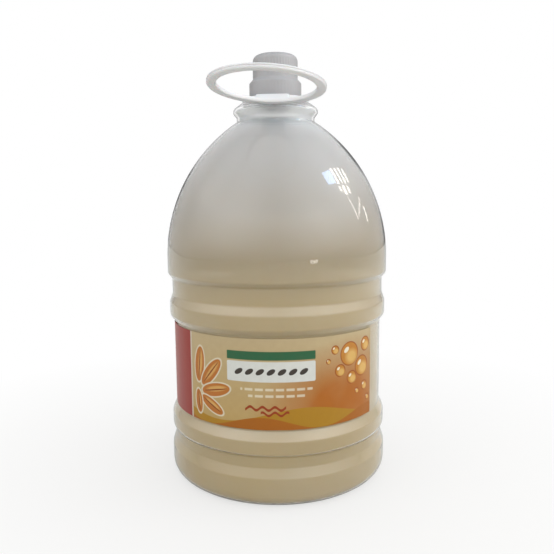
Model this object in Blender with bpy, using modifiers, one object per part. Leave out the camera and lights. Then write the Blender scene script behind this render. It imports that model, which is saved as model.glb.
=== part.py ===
"""A large round bottle of liquid hand soap, as sold for refilling dispensers.

A blown clear bottle with a tall rounded shoulder and three grip ribs holds the soap.
A wrap label lies in the flat panel, a snap-on collar with a hinged carry ring sits on
the neck, and a two-step screw cap with a foam liner closes it.
Metres, +Z up. The front of the bottle faces -Y. The origin is under the middle of the whole
part's box, from the tip of the carry ring to the back, so the bottle's axis is a little behind it.
"""

import math

import bmesh
import bpy
from mathutils import Matrix, Vector

for leftover in list(bpy.data.objects):
    bpy.data.objects.remove(leftover, do_unlink=True)

MM = 0.001

# Clearances and facets
GAP = 0.3 * MM
TURN_STEPS = 40
CORNER_STEPS = 2
SMALL_CORNER = 2.2 * MM

# Bottle: radii
PANEL_R = 74.5 * MM
RIB_R = 77.7 * MM
UPPER_GROOVE_R = 75.6 * MM
LOWER_GROOVE_R = 76.0 * MM
FOOT_R = 78.2 * MM
SHOULDER_R = 78.5 * MM
WAIST_R = 27.5 * MM
BULGE_R = 29.9 * MM
BULGE_TOP_R = 24.6 * MM

# Bottle: heights of its bands, from the table up
HEEL_RADIUS = 9.6 * MM
FOOT = 20.4 * MM
LOWER_GROOVE_FLANK = 6.6 * MM
LOWER_GROOVE = 6.8 * MM
LOWER_RIB_STEP = 2.2 * MM
LOWER_RIB = 8.6 * MM
RIB_FLANK = 6.2 * MM
PANEL = 60.4 * MM
UPPER_RIB_FLANK = 4.2 * MM
UPPER_RIB = 9.0 * MM
UPPER_GROOVE_FLANK = 6.0 * MM
UPPER_GROOVE = 10.8 * MM
SHOULDER_STEP = 3.4 * MM
SHOULDER_BAND = 10.4 * MM
SHOULDER_ARC = 113.0 * MM
SHOULDER_POINTS = 9
WAIST_HEIGHT = 3.0 * MM
BULGE_LOW = 3.1 * MM
BULGE_HIGH = 2.4 * MM
BULGE_CROWN = 4.0 * MM
WALL = 0.8 * MM

# Bottle: base
PUSH_UP = 9.0 * MM
FOOT_RING = 6.5 * MM
BASE_POINTS = 4

# Neck finish above the bulge
NECK_R = 13.0 * MM
NECK_BORE_R = 10.9 * MM
NECK_HEIGHT = 29.8 * MM
SEAT_R = 15.6 * MM
SNAP_BEAD = 0.7 * MM
SNAP_BEAD_HEIGHT = 1.3 * MM

# Soap
SOAP_IN_SHOULDER = 90.0 * MM

# Label
LABEL_MARGIN = 0.9 * MM
LABEL_FILM = 0.3 * MM
LABEL_RIGHT_EDGE = 56.0
LABEL_LEFT_EDGE = 180.0

# Handle collar
COLLAR_R = 23.4 * MM
COLLAR_HEIGHT = 3.0 * MM
COLLAR_RIM = 1.6 * MM
COLLAR_WEB = 1.2 * MM
HANDLE_TURNED = 4.3

# Carry ring and its hinge
HINGE_REACH = 1.4 * MM
HINGE_WIDTH = 22.0 * MM
STRAP = 1.4 * MM
STRAP_OUT = 9.4 * MM
STRAP_DROP = 6.3 * MM
RING_R = 35.6 * MM
RING_BAND = 5.8 * MM
RING_THICK = 2.9 * MM
RING_GROOVE = 0.7 * MM
RING_EDGE = 0.8 * MM
RING_RISE = 6.8
RING_TWIST = 2.6
RING_STEPS = 48

# Cap
CAP_ON_NECK = 1.25 * MM
SKIRT_ON_BEAD = 0.5 * MM
CAP_WALL = 1.5 * MM
CAP_ROOF = 1.6 * MM
CAP_SKIRT_HEIGHT = 10.2 * MM
CAP_STEP = 3.0 * MM
CAP_CORNER = 4.2 * MM
CAP_LIFT_GAP = 0.4 * MM
KNURLS = 36
KNURL_DEPTH = 0.3 * MM
LINER = 1.2 * MM
LINER_EDGE_GAP = 0.5 * MM

part_collection = bpy.data.collections.new("soap_refill_bottle")
cutter_collection = bpy.data.collections.new("cutters")
bpy.context.scene.collection.children.link(part_collection)
bpy.context.scene.collection.children.link(cutter_collection)


def material(name, colour, roughness, metallic=0.0, transmission=0.0):
    """A Principled BSDF material in one colour."""
    made = bpy.data.materials.new(name)
    made.use_nodes = True
    shader = made.node_tree.nodes["Principled BSDF"]
    shader.inputs["Base Color"].default_value = (*colour, 1.0)
    shader.inputs["Roughness"].default_value = roughness
    shader.inputs["Metallic"].default_value = metallic
    shader.inputs["Transmission Weight"].default_value = transmission
    made.diffuse_color = (*colour, 1.0)
    return made


def rounded(corners):
    """Turn (radius, height, fillet) corners into points, each fillet as a short arc."""
    points = []
    for index, (radius, height, fillet) in enumerate(corners):
        corner = Vector((radius, height))
        if fillet == 0.0 or index in (0, len(corners) - 1):
            points.append(corner)
            continue
        before = (Vector(corners[index - 1][:2]) - corner).normalized()
        after = (Vector(corners[index + 1][:2]) - corner).normalized()
        half_angle = before.angle(after) / 2.0
        reach = fillet / math.tan(half_angle)
        centre = corner + (before + after).normalized() * fillet / math.sin(half_angle)
        start = corner + before * reach - centre
        sweep = start.angle_signed(corner + after * reach - centre)
        steps = CORNER_STEPS if fillet > SMALL_CORNER else 1
        for step in range(steps + 1):
            turn = Matrix.Rotation(-sweep * step / steps, 2)
            points.append(centre + turn @ start)
    return points


def offset(points, distance):
    """Move a profile that runs down the outer side inwards by a distance."""
    moved = []
    for index, point in enumerate(points):
        along = []
        if index > 0:
            along.append((point - points[index - 1]).normalized())
        if index < len(points) - 1:
            along.append((points[index + 1] - point).normalized())
        mean = sum(along, Vector((0.0, 0.0))).normalized()
        inward = Vector((mean.y, -mean.x))
        stretch = 1.0 / max(mean.dot(along[0]), 0.5)
        moved.append(point + inward * distance * stretch)
    if points[-1].x < 1e-9:
        moved[-1] = Vector((0.0, points[-1].y + distance))
    return moved


def place(mesh, name, finish, smooth_angle=35.0, location=(0.0, 0.0, 0.0)):
    """Link a mesh as a named object of the part, shaded smooth between sharp edges."""
    made = bpy.data.objects.new(name, mesh)
    made.location = location
    mesh.materials.append(finish)
    mesh.shade_smooth()
    mesh.set_sharp_from_angle(angle=math.radians(smooth_angle))
    part_collection.objects.link(made)
    return made


def turned(name, points, finish, steps=TURN_STEPS):
    """A turned piece: the profile swept a full turn about Z by a Screw modifier."""
    mesh = bpy.data.meshes.new(name)
    edges = [(i, i + 1) for i in range(len(points) - 1)]
    if points[0].x > 1e-9:
        edges.append((len(points) - 1, 0))
    mesh.from_pydata([(p.x, 0.0, p.y) for p in points], edges, [])
    made = place(mesh, name, finish)
    screw = made.modifiers.new("turn", "SCREW")
    screw.axis = "Z"
    screw.steps = steps
    screw.render_steps = steps
    screw.use_merge_vertices = True
    screw.merge_threshold = 1e-5
    screw.use_smooth_shade = True
    return made


def applied(source, name=None):
    """The evaluated mesh of an object, taken as a plain mesh; the source goes."""
    bpy.context.view_layer.update()
    graph = bpy.context.evaluated_depsgraph_get()
    mesh = bpy.data.meshes.new_from_object(source.evaluated_get(graph))
    title = name or source.name
    bpy.data.objects.remove(source, do_unlink=True)
    mesh.name = title
    return mesh


def prism(name, outline, depth):
    """A closed slab: an outline in the XZ plane, extruded to both sides along Y."""
    made = bmesh.new()
    lower = [made.verts.new((x, -depth / 2.0, z)) for x, z in outline]
    face = made.faces.new(lower)
    grown = bmesh.ops.extrude_face_region(made, geom=[face])
    moved = [item for item in grown["geom"] if isinstance(item, bmesh.types.BMVert)]
    bmesh.ops.translate(made, verts=moved, vec=(0.0, depth, 0.0))
    bmesh.ops.recalc_face_normals(made, faces=made.faces)
    mesh = bpy.data.meshes.new(name)
    made.to_mesh(mesh)
    made.free()
    return mesh


def tool(mesh, name):
    """A helper solid that cuts or joins another and isn't a piece itself."""
    made = bpy.data.objects.new(name, mesh)
    made.hide_render = True
    made.display_type = "WIRE"
    cutter_collection.objects.link(made)
    return made


def boolean(target, helper, operation):
    """Cut a helper from a piece, or join it on."""
    step = target.modifiers.new(helper.name, "BOOLEAN")
    step.operation = operation
    step.object = helper
    step.solver = "EXACT"
    return step


# Heights above the table, band by band, then the shoulder's arc and the bulge on top of it
groove_low = FOOT + LOWER_GROOVE_FLANK
groove_high = groove_low + LOWER_GROOVE
rib_low = groove_high + LOWER_RIB_STEP
rib_high = rib_low + LOWER_RIB
panel_low = rib_high + RIB_FLANK
panel_high = panel_low + PANEL
upper_rib_low = panel_high + UPPER_RIB_FLANK
upper_rib_high = upper_rib_low + UPPER_RIB
upper_groove_low = upper_rib_high + UPPER_GROOVE_FLANK
upper_groove_high = upper_groove_low + UPPER_GROOVE
shoulder_bottom = upper_groove_high + SHOULDER_STEP
shoulder_start = shoulder_bottom + SHOULDER_BAND
arc_centre_r = SHOULDER_R - SHOULDER_ARC
waist_bottom = shoulder_start + math.sqrt(SHOULDER_ARC ** 2 - (WAIST_R - arc_centre_r) ** 2)
waist_top = waist_bottom + WAIST_HEIGHT
bulge_bottom = waist_top + BULGE_LOW
bulge_top = bulge_bottom + BULGE_HIGH
ledge = bulge_top + BULGE_CROWN
seat_top = ledge + GAP + COLLAR_HEIGHT + GAP
neck_top = ledge + NECK_HEIGHT
cap_bottom = ledge + GAP + COLLAR_HEIGHT + CAP_LIFT_GAP


def shoulder_arc():
    """Points of the rounded shoulder, from under the neck down to its widest part."""
    top_angle = math.acos((WAIST_R - arc_centre_r) / SHOULDER_ARC)
    points = []
    for step in range(1, SHOULDER_POINTS + 1):
        angle = top_angle * (1.0 - step / SHOULDER_POINTS)
        r = arc_centre_r + SHOULDER_ARC * math.cos(angle)
        z = shoulder_start + SHOULDER_ARC * math.sin(angle)
        points.append(Vector((r, z)))
    return points


def base_arc():
    """Points of the pushed-up base, from its flat foot ring to the middle."""
    inner = FOOT_R - HEEL_RADIUS - FOOT_RING
    points = []
    for step in range(BASE_POINTS + 1):
        share = step / BASE_POINTS
        z = PUSH_UP * math.sin(share * math.pi / 2.0)
        points.append(Vector((inner * math.cos(share * math.pi / 2.0), z)))
    points[-1].x = 0.0
    return points


# Blown body from the ledge under the collar down to the middle of the base
body_points = rounded([
    (NECK_BORE_R, ledge, 0.0),
    (BULGE_TOP_R, ledge, 1.2 * MM),
    (BULGE_R, bulge_top, 3.0 * MM),
    (BULGE_R, bulge_bottom, 2.0 * MM),
    (WAIST_R, waist_top, 1.5 * MM),
    (WAIST_R, waist_bottom, 0.0),
])
body_points += shoulder_arc()
body_points += rounded([
    (SHOULDER_R, shoulder_start, 0.0),
    (SHOULDER_R, shoulder_bottom, 4.0 * MM),
    (UPPER_GROOVE_R, upper_groove_high, 1.4 * MM),
    (UPPER_GROOVE_R, upper_groove_low, 6.0 * MM),
    (RIB_R, upper_rib_high, 6.0 * MM),
    (RIB_R, upper_rib_low, 4.0 * MM),
    (PANEL_R, panel_high, 2.0 * MM),
    (PANEL_R, panel_low, 2.0 * MM),
    (RIB_R, rib_high, 4.0 * MM),
    (RIB_R, rib_low, 3.0 * MM),
    (LOWER_GROOVE_R, groove_high, 1.2 * MM),
    (LOWER_GROOVE_R, groove_low, 1.6 * MM),
    (FOOT_R, FOOT, 5.0 * MM),
    (FOOT_R, 0.0, HEEL_RADIUS),
    (FOOT_R - HEEL_RADIUS - FOOT_RING, 0.0, 0.0),
])[1:]
body_points += base_arc()[1:]

# Neck finish, from the lip down to the ledge
bead_r = SEAT_R + SNAP_BEAD
neck_points = rounded([
    (NECK_BORE_R, neck_top, 0.0),
    (NECK_R, neck_top, 0.5 * MM),
    (NECK_R, seat_top + SNAP_BEAD_HEIGHT + 2.0 * MM, 0.0),
    (bead_r, seat_top + SNAP_BEAD_HEIGHT, 0.0),
    (bead_r, seat_top + SNAP_BEAD / 2.0, 0.0),
    (SEAT_R, seat_top, 0.0),
    (SEAT_R, ledge, 0.0),
])

inner_points = offset(body_points, WALL)
bottle_profile = list(reversed(inner_points)) + neck_points + body_points[1:]
bottle_finish = material("clear_pet", (0.86, 0.88, 0.86), 0.06, 0.0, 0.9)
turned("bottle", bottle_profile, bottle_finish)

# Soap, which fills the bottle up into the top of the shoulder
soap_level = shoulder_start + SOAP_IN_SHOULDER
soap_wall = offset(body_points, WALL + GAP)
soap_points = [point for point in soap_wall if point.y < soap_level]
first_inside = next(i for i, point in enumerate(soap_wall) if point.y < soap_level)
above = soap_wall[first_inside - 1]
below = soap_wall[first_inside]
surface_share = (soap_level - below.y) / (above.y - below.y)
surface_edge = below.lerp(above, surface_share)
soap_profile = [Vector((0.0, soap_level)), surface_edge] + soap_points
soap_finish = material("pearl_soap", (0.87, 0.82, 0.72), 0.35)
turned("liquid_soap", soap_profile, soap_finish)

# Label: a printed film band with its bare stretch cut out
label_inner = PANEL_R + GAP
label_outer = label_inner + LABEL_FILM
label_low = panel_low + LABEL_MARGIN
label_high = panel_high - LABEL_MARGIN
label_profile = [
    Vector((label_outer, label_high)),
    Vector((label_outer, label_low)),
    Vector((label_inner, label_low)),
    Vector((label_inner, label_high)),
]
label = turned("label", label_profile, material("printed_film", (0.86, 0.62, 0.36), 0.38))


def bare_sector():
    """A wedge over the part of the panel that the label leaves bare, behind the right side."""
    reach = 1.3 * label_outer
    first = math.radians(LABEL_RIGHT_EDGE - 90.0)
    last = math.radians(270.0 - LABEL_LEFT_EDGE)
    corners = [Vector((0.0, 0.0, label_low - label_inner / 10.0))]
    for step in range(5):
        angle = first + (last - first) * step / 4
        corners.append(corners[0] + Vector((math.cos(angle), math.sin(angle), 0.0)) * reach)
    made = bmesh.new()
    face = made.faces.new([made.verts.new(corner) for corner in corners])
    grown = bmesh.ops.extrude_face_region(made, geom=[face])
    moved = [item for item in grown["geom"] if isinstance(item, bmesh.types.BMVert)]
    rise = label_high - label_low + label_inner / 5.0
    bmesh.ops.translate(made, verts=moved, vec=(0.0, 0.0, rise))
    bmesh.ops.recalc_face_normals(made, faces=made.faces)
    mesh = bpy.data.meshes.new("bare_sector")
    made.to_mesh(mesh)
    made.free()
    return mesh


boolean(label, tool(bare_sector(), "bare_sector"), "DIFFERENCE")

# Handle: a snap collar that turns on the neck, pointing a little left of the front
handle_white = material("handle_white", (0.83, 0.82, 0.8), 0.45)
collar_low = ledge + GAP
collar_high = collar_low + COLLAR_HEIGHT
collar_bore = SEAT_R + GAP
hinge_r = COLLAR_R + HINGE_REACH
hinge_z = collar_high - STRAP / 2.0
out_angle = math.radians(-90.0 - HANDLE_TURNED)
handle_turn = Matrix.Rotation(out_angle, 4, "Z")

collar_profile = [
    Vector((COLLAR_R, collar_high)),
    Vector((COLLAR_R, collar_low)),
    Vector((COLLAR_R - COLLAR_RIM, collar_low)),
    Vector((COLLAR_R - COLLAR_RIM, collar_high - COLLAR_WEB)),
    Vector((collar_bore, collar_high - COLLAR_WEB)),
    Vector((collar_bore, collar_high)),
]
collar = turned("handle_collar", collar_profile, handle_white, RING_STEPS)

# The lug on the collar and the strap on the ring both thin down to the hinge line
lug_start = COLLAR_R - COLLAR_RIM / 2.0 - HINGE_WIDTH ** 2 / (8.0 * COLLAR_R)
lug_mesh = prism("hinge_lug", [
    (lug_start, hinge_z - STRAP / 2.0),
    (hinge_r - GAP / 2.0 - STRAP / 2.0, hinge_z - STRAP / 2.0),
    (hinge_r - GAP / 2.0, hinge_z),
    (hinge_r - GAP / 2.0 - STRAP / 2.0, hinge_z + STRAP / 2.0),
    (lug_start, hinge_z + STRAP / 2.0),
], HINGE_WIDTH)
lug_mesh.transform(handle_turn)
boolean(collar, tool(lug_mesh, "hinge_lug"), "UNION")

# Carry ring: a grooved band swept round, joined to a strap that drops over the neck's bulge
half = RING_THICK / 2.0
inner_edge = RING_R - RING_BAND
lip = half * 0.3
ring_points = [
    Vector((RING_R - RING_EDGE, half)),
    Vector((RING_R, half - RING_EDGE)),
    Vector((RING_R, lip)),
    Vector((RING_R - RING_GROOVE, 0.0)),
    Vector((RING_R, -lip)),
    Vector((RING_R, -half + RING_EDGE)),
    Vector((RING_R - RING_EDGE, -half)),
    Vector((inner_edge + RING_EDGE, -half)),
    Vector((inner_edge, -half + RING_EDGE)),
    Vector((inner_edge, half - RING_EDGE)),
    Vector((inner_edge + RING_EDGE, half)),
]
ring_mesh = applied(turned("carry_ring", ring_points, handle_white, RING_STEPS), "carry_ring")

# In the hinge's own frame +X points outwards from the neck and the origin is on the hinge line
ring_turn = Matrix.Rotation(math.radians(-RING_RISE), 4, "Y")
ring_twist = Matrix.Rotation(math.radians(-RING_TWIST), 4, "X")
strap_end = Matrix.Translation((STRAP_OUT, 0.0, -STRAP_DROP))
ring_centre = Matrix.Translation((RING_R, 0.0, 0.0))
ring_mesh.transform(strap_end @ ring_turn @ ring_twist @ ring_centre)

strap_bend = STRAP_OUT * 0.36
strap_mesh = prism("ring_strap", [
    (GAP / 2.0, 0.0),
    (GAP / 2.0 + STRAP / 2.0, STRAP / 2.0),
    (strap_bend, STRAP / 2.0),
    (STRAP_OUT * 0.82, -STRAP_DROP * 0.3),
    (STRAP_OUT + RING_BAND * 0.25, -STRAP_DROP + STRAP * 0.5),
    (STRAP_OUT + RING_BAND * 0.25, -STRAP_DROP - STRAP * 1.5),
    (STRAP_OUT, -STRAP_DROP - STRAP * 1.5),
    (STRAP_OUT * 0.66, -STRAP_DROP * 0.52),
    (strap_bend, -STRAP / 2.0),
    (GAP / 2.0 + STRAP / 2.0, -STRAP / 2.0),
], HINGE_WIDTH)
carry_ring = place(ring_mesh, "carry_ring", handle_white)
carry_ring.matrix_world = handle_turn @ Matrix.Translation((hinge_r, 0.0, hinge_z))
ring_strap = tool(strap_mesh, "ring_strap")
ring_strap.matrix_world = carry_ring.matrix_world
boolean(carry_ring, ring_strap, "UNION")

# Cap: two knurled steps, turned, then every other column of its grip drawn in
cap_bore = NECK_R + CAP_ON_NECK
cap_r = cap_bore + CAP_WALL
skirt_bore = bead_r + SKIRT_ON_BEAD
skirt_r = skirt_bore + CAP_WALL
skirt_top = cap_bottom + CAP_SKIRT_HEIGHT
step_top = skirt_top + CAP_STEP
liner_low = neck_top + GAP
liner_high = liner_low + LINER
cap_ceiling = liner_high + GAP
cap_top = cap_ceiling + CAP_ROOF
cap_points = rounded([
    (0.0, cap_top, 0.0),
    (cap_r, cap_top, CAP_CORNER),
    (cap_r, step_top, 0.6 * MM),
    (skirt_r, skirt_top, 0.6 * MM),
    (skirt_r, cap_bottom, 0.0),
    (skirt_bore, cap_bottom, 0.0),
    (skirt_bore, skirt_top - CAP_WALL, 0.0),
    (cap_bore, step_top - CAP_WALL, 0.0),
    (cap_bore, cap_ceiling, 0.0),
    (0.0, cap_ceiling, 0.0),
])
cap_white = material("cap_white", (0.84, 0.83, 0.82), 0.5)
cap_mesh = applied(turned("screw_cap", cap_points, cap_white, 2 * KNURLS))


def knurl(mesh):
    """Draw in every other column of the two upright outer walls, which leaves the grip's ribs."""
    column = math.pi / KNURLS
    for vertex in mesh.vertices:
        r = math.hypot(vertex.co.x, vertex.co.y)
        upright = vertex.co.z < cap_top - CAP_CORNER + 1e-6 and r > cap_r - 1e-6
        odd = round(math.atan2(vertex.co.y, vertex.co.x) / column) % 2
        if upright and odd:
            vertex.co.x *= 1.0 - KNURL_DEPTH / r
            vertex.co.y *= 1.0 - KNURL_DEPTH / r


knurl(cap_mesh)
place(cap_mesh, "screw_cap", cap_white, 20.0)

# Liner: a foam disc pressed up inside the cap, against the neck's lip
liner_mesh = bpy.data.meshes.new("cap_liner")
disc = bmesh.new()
liner_r = cap_bore - LINER_EDGE_GAP
bmesh.ops.create_cone(disc, cap_ends=True, segments=TURN_STEPS, radius1=liner_r, radius2=liner_r, depth=LINER)
disc.to_mesh(liner_mesh)
disc.free()
liner_finish = material("liner_foam", (0.9, 0.9, 0.88), 0.8)
place(liner_mesh, "cap_liner", liner_finish, 35.0, (0.0, 0.0, (liner_low + liner_high) / 2.0))

# Stand the part over the origin: its box runs from the ring's tip to the back of the shoulder
bpy.context.view_layer.update()
ring_tip = min((carry_ring.matrix_world @ vertex.co).y for vertex in ring_mesh.vertices)
axis_y = -(ring_tip + SHOULDER_R) / 2.0
for piece in list(part_collection.objects) + list(cutter_collection.objects):
    piece.location.y += axis_y
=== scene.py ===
import math

import bmesh
import bpy
import numpy as np
from mathutils import Matrix, Vector


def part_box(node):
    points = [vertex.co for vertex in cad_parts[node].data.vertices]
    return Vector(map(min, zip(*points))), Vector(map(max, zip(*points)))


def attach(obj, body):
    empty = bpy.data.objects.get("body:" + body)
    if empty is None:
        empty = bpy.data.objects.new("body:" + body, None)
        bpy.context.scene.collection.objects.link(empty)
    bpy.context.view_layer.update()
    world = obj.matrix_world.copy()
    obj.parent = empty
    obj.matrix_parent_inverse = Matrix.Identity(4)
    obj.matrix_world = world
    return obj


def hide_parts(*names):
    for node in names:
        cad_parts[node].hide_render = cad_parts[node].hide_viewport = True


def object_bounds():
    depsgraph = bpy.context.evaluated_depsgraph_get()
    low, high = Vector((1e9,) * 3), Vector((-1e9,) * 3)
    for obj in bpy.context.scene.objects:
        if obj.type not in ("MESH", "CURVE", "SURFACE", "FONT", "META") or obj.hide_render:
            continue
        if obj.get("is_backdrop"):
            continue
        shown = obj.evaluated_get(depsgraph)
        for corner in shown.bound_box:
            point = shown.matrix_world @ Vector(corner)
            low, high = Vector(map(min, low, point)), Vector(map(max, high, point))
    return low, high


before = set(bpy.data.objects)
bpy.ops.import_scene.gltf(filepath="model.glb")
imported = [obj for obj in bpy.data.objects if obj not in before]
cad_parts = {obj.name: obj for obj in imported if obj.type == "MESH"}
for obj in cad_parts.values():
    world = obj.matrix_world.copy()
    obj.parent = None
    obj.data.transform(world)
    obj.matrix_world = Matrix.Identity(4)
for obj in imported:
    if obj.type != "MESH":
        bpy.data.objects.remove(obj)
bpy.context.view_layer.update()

MM = 0.001

# View. The photograph looks at the bottle from the front at two thirds of its height,
# a little downwards, with the horizon of the table through the shoulder.
bottle_low, bottle_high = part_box("bottle")
axis_y = (bottle_low.y + bottle_high.y) / 2.0
PHOTO_SIZE = 554
FOCAL_PIXELS = 596.0
SENSOR = 36.0
VIEW_DISTANCE = 433.5 * MM
VIEW_HEIGHT = 195.2 * MM
VIEW_DOWN = 7.36
VIEW_ROLL = 0.5

camera_data = bpy.data.cameras.new("photo_view")
camera_data.sensor_width = SENSOR
camera_data.lens = FOCAL_PIXELS * SENSOR / PHOTO_SIZE
camera_data.clip_start = 0.01
camera = bpy.data.objects.new("photo_view", camera_data)
camera.location = (0.0, axis_y - VIEW_DISTANCE, VIEW_HEIGHT)
tilt = Matrix.Rotation(math.radians(90.0 - VIEW_DOWN), 4, "X")
roll = Matrix.Rotation(math.radians(-VIEW_ROLL), 4, "Z")
camera.rotation_euler = (tilt @ roll).to_euler()
bpy.context.scene.collection.objects.link(camera)
bpy.context.scene.camera = camera
bpy.context.scene.view_settings.view_transform = "Standard"


class Shade:
    """A socket among a material's nodes. Sums on it, with numbers or others, add Math nodes."""

    def __init__(self, owner, socket):
        self.owner = owner
        self.socket = socket

    def maths(self, operation, first, second=0.0, clamp=False):
        """A Math node of that operation on two values."""
        settings = {"operation": operation, "use_clamp": clamp}
        return self.owner.node("ShaderNodeMath", settings, {0: first, 1: second})

    def __add__(self, other):
        return self.maths("ADD", self, other)

    def __radd__(self, other):
        return self.maths("ADD", other, self)

    def __sub__(self, other):
        return self.maths("SUBTRACT", self, other)

    def __rsub__(self, other):
        return self.maths("SUBTRACT", other, self)

    def __mul__(self, other):
        return self.maths("MULTIPLY", self, other)

    def __rmul__(self, other):
        return self.maths("MULTIPLY", other, self)

    def __truediv__(self, other):
        return self.maths("DIVIDE", self, other)

    def __pow__(self, other):
        return self.maths("POWER", self, other)

    def clamped(self):
        return self.maths("ADD", self, 0.0, clamp=True)

    def absolute(self):
        return self.maths("ABSOLUTE", self)

    def at_least(self, other):
        return self.maths("MAXIMUM", self, other)

    def sine(self):
        return self.maths("SINE", self)


class Nodes:
    """A node tree, with the one method that adds any kind of node."""

    def __init__(self, tree):
        self.tree = tree

    def node(self, kind, settings=None, values=None, output=0):
        """Add a node: its type, its settings, then the values or links of its sockets."""
        made = self.tree.nodes.new(kind)
        for setting, value in (settings or {}).items():
            setattr(made, setting, value)
        for socket, value in (values or {}).items():
            if isinstance(value, Shade):
                self.tree.links.new(value.socket, made.inputs[socket])
            else:
                made.inputs[socket].default_value = value
        return Shade(self, made.outputs[output])

    def mix(self, factor, first, second):
        """A colour between two colours."""
        first = (*first, 1.0) if isinstance(first, tuple) else first
        second = (*second, 1.0) if isinstance(second, tuple) else second
        return self.node("ShaderNodeMix", {"data_type": "RGBA"}, {0: factor, 6: first, 7: second}, 2)

    def link(self, shade, node, socket):
        """Link a value, colour or shader to a socket of a node."""
        self.tree.links.new(shade.socket, node.inputs[socket])


class Finish(Nodes):
    """A material with one Principled shader."""

    def __init__(self, name, colour, roughness, **constants):
        self.material = bpy.data.materials.new(name)
        self.material.use_nodes = True
        super().__init__(self.material.node_tree)
        self.surface = self.tree.nodes["Principled BSDF"]
        self.output = self.tree.nodes["Material Output"]
        self.surface.inputs["Base Color"].default_value = (*colour, 1.0)
        self.surface.inputs["Roughness"].default_value = roughness
        for socket, value in constants.items():
            self.surface.inputs[socket.replace("_", " ").title().replace("Ior", "IOR")].default_value = value
        self.material.diffuse_color = (*colour, 1.0)

    def place(self):
        """Object coordinates, in metres."""
        return self.node("ShaderNodeTexCoord", output="Object")

    def height(self):
        """The height above the table, in metres."""
        return self.node("ShaderNodeSeparateXYZ", None, {0: self.place()}, 2)

    def noise(self, scale, detail=2.0, stretch=(1.0, 1.0, 1.0)):
        """Soft noise between 0 and 1, with that many cells to a metre."""
        spread = self.node("ShaderNodeMapping", None, {0: self.place(), 3: stretch})
        values = {"Vector": spread, "Scale": scale, "Detail": detail}
        return self.node("ShaderNodeTexNoise", None, values)

    def bump(self, height, strength, distance):
        """Lead a height through a Bump node to the surface's normal."""
        values = {"Height": height, "Strength": strength, "Distance": distance}
        self.drive("Normal", self.node("ShaderNodeBump", None, values))

    def drive(self, socket, shade):
        """Link what changes over the surface to a socket of its shader."""
        self.link(shade, self.surface, socket)

    def cover(self, share, shader):
        """Show another shader in place of the surface's own, by that share."""
        own = Shade(self, self.surface.outputs[0])
        mixed = self.node("ShaderNodeMixShader", None, {0: share, 1: own, 2: shader})
        self.link(mixed, self.output, 0)


def srgb(red, green, blue):
    """A screen colour, 0 to 255, as linear light: ((c + 0.055) / 1.055) to the power 2.4."""
    share = np.array((red, green, blue)) / 255.0
    light = np.where(share > 0.04045, ((share + 0.055) / 1.055) ** 2.4, share / 12.92)
    return tuple(float(level) for level in light)


# Studio. A plain pale floor and a white surround for what the camera sees, also through the clear
# plastic. The light on the object is soft, cooler from above and warmer from below. What the
# plastic mirrors grows from a dim table to a bright room in front and at the sides.
LAMP_TARGET = Vector((0.0, axis_y, 0.17))
SIDE_LIGHT = 0.42
TOP_LIGHT = 0.95
LOW_LIGHT = 0.34
DIM_MIRRORED = 0.06
BACK_MIRRORED = 0.4
FRONT_MIRRORED = 3.3
SIDE_MIRRORED = 2.4
RIGHT_MIRRORED = 0.4
TABLE_EDGE = 0.1
ROOM_RAMP = 0.56
FRONT_EDGE = 0.35
FRONT_RAMP = 0.9
SIDE_RAMP = 0.8

world = bpy.data.worlds.new("studio")
bpy.context.scene.world = world
world.use_nodes = True
sky = Nodes(world.node_tree)
sky_way = sky.node("ShaderNodeTexCoord", output="Generated")
sky_right, sky_back, sky_up = (sky.node("ShaderNodeSeparateXYZ", None, {0: sky_way}, axis)
                               for axis in range(3))
above = sky_up.clamped()
below = (0.0 - sky_up).clamped()
first_look = 1.0 - sky.node("ShaderNodeLightPath", output="Diffuse Depth").clamped()
seen = sky.node("ShaderNodeLightPath", output="Is Camera Ray")
seen_through = sky.node("ShaderNodeLightPath", output="Is Transmission Ray")
white_share = (seen + seen_through).clamped() * first_look
mirrored = sky.node("ShaderNodeLightPath", output="Is Glossy Ray") * first_look
in_front = ((FRONT_EDGE - sky_back) / FRONT_RAMP).clamped()
at_sides = sky_right.absolute() * SIDE_MIRRORED + sky_right * RIGHT_MIRRORED
at_sides = at_sides * (1.0 - sky_back / SIDE_RAMP).clamped()
room_level = BACK_MIRRORED + in_front * (FRONT_MIRRORED - BACK_MIRRORED) + at_sides
mirrored_level = DIM_MIRRORED + ((sky_up + TABLE_EDGE) / ROOM_RAMP).clamped() * room_level
light_colour = sky.mix(above, (1.0, 0.98, 0.96), (0.90, 0.95, 1.0))
light_colour = sky.mix(below, light_colour, (1.0, 0.95, 0.88))
light_level = SIDE_LIGHT + above * (TOP_LIGHT - SIDE_LIGHT) - below * (SIDE_LIGHT - LOW_LIGHT)
light_level = light_level + (mirrored_level - light_level) * mirrored
background = world.node_tree.nodes["Background"]
sky.link(sky.mix(white_share, light_colour, (1.0, 1.0, 1.0)), background, "Color")
sky.link(light_level + (1.0 - light_level) * white_share, background, "Strength")


def lamp(name, place, across, away, size, radiance, colour, mirrored=True):
    """A rectangular lamp that faces along -away, with its width along across. Its power is
    pi * radiance * width * height, so the radiance is what a mirror would show of it."""
    data = bpy.data.lights.new(name, "AREA")
    data.shape = "RECTANGLE"
    data.size, data.size_y = size
    data.energy = math.pi * radiance * size[0] * size[1]
    data.color = colour
    made = bpy.data.objects.new(name, data)
    up = away.cross(across).normalized()
    turn = Matrix((up.cross(away).normalized(), up, away.normalized())).transposed()
    made.matrix_world = Matrix.Translation(place) @ turn.to_4x4()
    made.visible_glossy = made.visible_transmission = mirrored
    bpy.context.scene.collection.objects.link(made)


def soft_lamp(name, direction, distance, size, radiance, colour, mirrored=False):
    """A lamp that stands that far from the bottle's middle and faces it, held level."""
    away = Vector(direction).normalized()
    across = Vector((0.0, 1e-3, 1.0)).cross(away)
    lamp(name, LAMP_TARGET + away * distance, across, away, size, radiance, colour, mirrored)


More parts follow.
